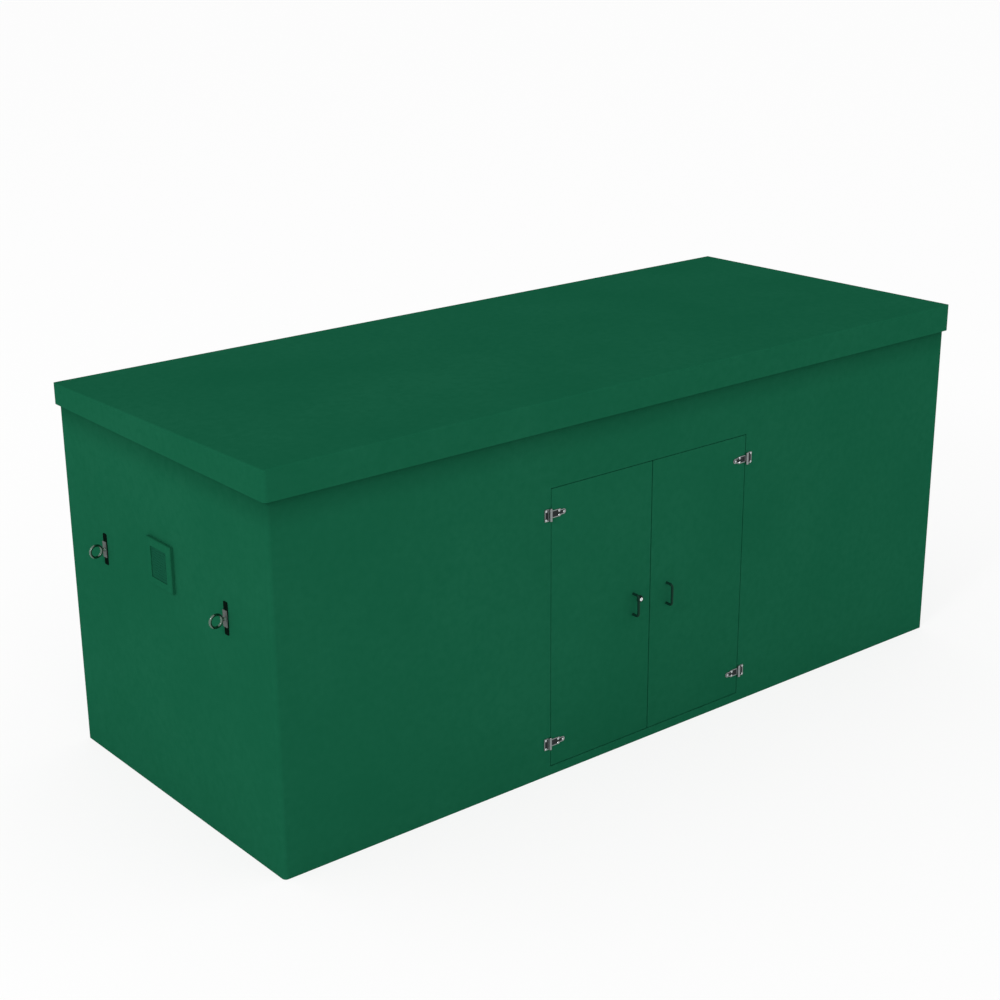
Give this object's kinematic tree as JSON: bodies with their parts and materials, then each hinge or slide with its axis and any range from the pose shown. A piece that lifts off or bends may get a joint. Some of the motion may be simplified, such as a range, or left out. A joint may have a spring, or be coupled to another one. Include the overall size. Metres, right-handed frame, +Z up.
{
  "type": "roadside utility cabinet",
  "caption": "Long green moulded kiosk with a sloping lift-off roof, flush double doors in the front, end-wall vents and lifting eyes; open base that bolts to a plinth.",
  "frame": {"origin": "middle of the foot flange's underside, on the plinth", "axes": "+X along the length to the right of someone facing the doors, -Y out of the doors, +Z up"},
  "size_m": [3.121, 1.3025, 1.3169],
  "materials": {
    "green_gelcoat": "glass-fibre moulding with a dark green satin gel coat",
    "seal_rubber": "black sponge rubber",
    "polished_stainless": "polished stainless steel",
    "black_gloss": "glossy black coating",
    "bright_plating": "bright plated steel",
    "black_coated_steel": "satin black coating",
    "zinc_plated_steel": "zinc plated steel"
  },
  "bodies": {
    "cabinet": {"body_shell": "green_gelcoat", "roof_cover": "green_gelcoat", "vent_frame_left": "green_gelcoat", "vent_frame_right": "green_gelcoat", "vent_screen_left": "green_gelcoat", "vent_screen_right": "green_gelcoat", "roof_seal": "seal_rubber", "door_seal": "seal_rubber", "hinge_wall_leaf_left_lower": "polished_stainless", "hinge_wall_leaf_left_upper": "polished_stainless", "hinge_wall_leaf_right_lower": "polished_stainless", "hinge_wall_leaf_right_upper": "polished_stainless", "hinge_pin_left_lower": "polished_stainless", "hinge_pin_left_upper": "polished_stainless", "hinge_pin_right_lower": "polished_stainless", "hinge_pin_right_upper": "polished_stainless", "hinge_wall_screws": "polished_stainless", "lifting_eye_left_front": "bright_plating", "lifting_eye_left_rear": "bright_plating", "lifting_eye_right_front": "bright_plating", "lifting_eye_right_rear": "bright_plating", "lifting_pad_left_front": "black_coated_steel", "lifting_pad_left_rear": "black_coated_steel", "lifting_pad_right_front": "black_coated_steel", "lifting_pad_right_rear": "black_coated_steel", "lifting_bolts": "black_coated_steel", "roof_bolts": "zinc_plated_steel", "lifting_nuts": "zinc_plated_steel", "lifting_backing_left_front": "zinc_plated_steel", "lifting_backing_left_rear": "zinc_plated_steel", "lifting_backing_right_front": "zinc_plated_steel", "lifting_backing_right_rear": "zinc_plated_steel"},
    "left_door": {"door_left": "green_gelcoat", "meeting_seal": "seal_rubber", "hinge_door_leaf_left_lower": "polished_stainless", "hinge_door_leaf_left_upper": "polished_stainless", "hinge_door_screws_left": "polished_stainless", "handle_left": "black_gloss", "handle_screws_left": "zinc_plated_steel", "lock_bezel": "black_gloss", "lock_barrel": "bright_plating", "lock_nut": "zinc_plated_steel"},
    "right_door": {"door_right": "green_gelcoat", "hinge_door_leaf_right_lower": "polished_stainless", "hinge_door_leaf_right_upper": "polished_stainless", "hinge_door_screws_right": "polished_stainless", "handle_right": "black_gloss", "handle_screws_right": "zinc_plated_steel", "lock_keeper": "zinc_plated_steel", "rod_guide_lower": "zinc_plated_steel", "rod_guide_upper": "zinc_plated_steel", "inner_screws": "zinc_plated_steel"},
    "lock_cylinder": {"lock_core": "zinc_plated_steel", "lock_cam": "zinc_plated_steel"},
    "upper_rod": {"sliding_rod_upper": "zinc_plated_steel"},
    "lower_rod": {"sliding_rod_lower": "zinc_plated_steel"}
  },
  "joints": [
    {"name": "left_door_hinge", "type": "hinge", "parent": "cabinet", "child": "left_door", "pos_m": [-0.449, -0.634, 0.5265], "axis": [0, 0, -1], "range_deg": [0, 170]},
    {"name": "right_door_hinge", "type": "hinge", "parent": "cabinet", "child": "right_door", "pos_m": [0.449, -0.634, 0.5265], "axis": [0, 0, 1], "range_deg": [0, 170]},
    {"name": "lock_turn", "type": "hinge", "parent": "left_door", "child": "lock_cylinder", "pos_m": [-0.048, -0.629, 0.536], "axis": [0, 1, 0], "range_deg": [0, 90]},
    {"name": "upper_rod_slide", "type": "slide", "parent": "right_door", "child": "upper_rod", "axis": [0, 0, 1], "range_m": [0, 0.018]},
    {"name": "lower_rod_slide", "type": "slide", "parent": "right_door", "child": "lower_rod", "axis": [0, 0, -1], "range_m": [0, 0.018]}
  ]
}
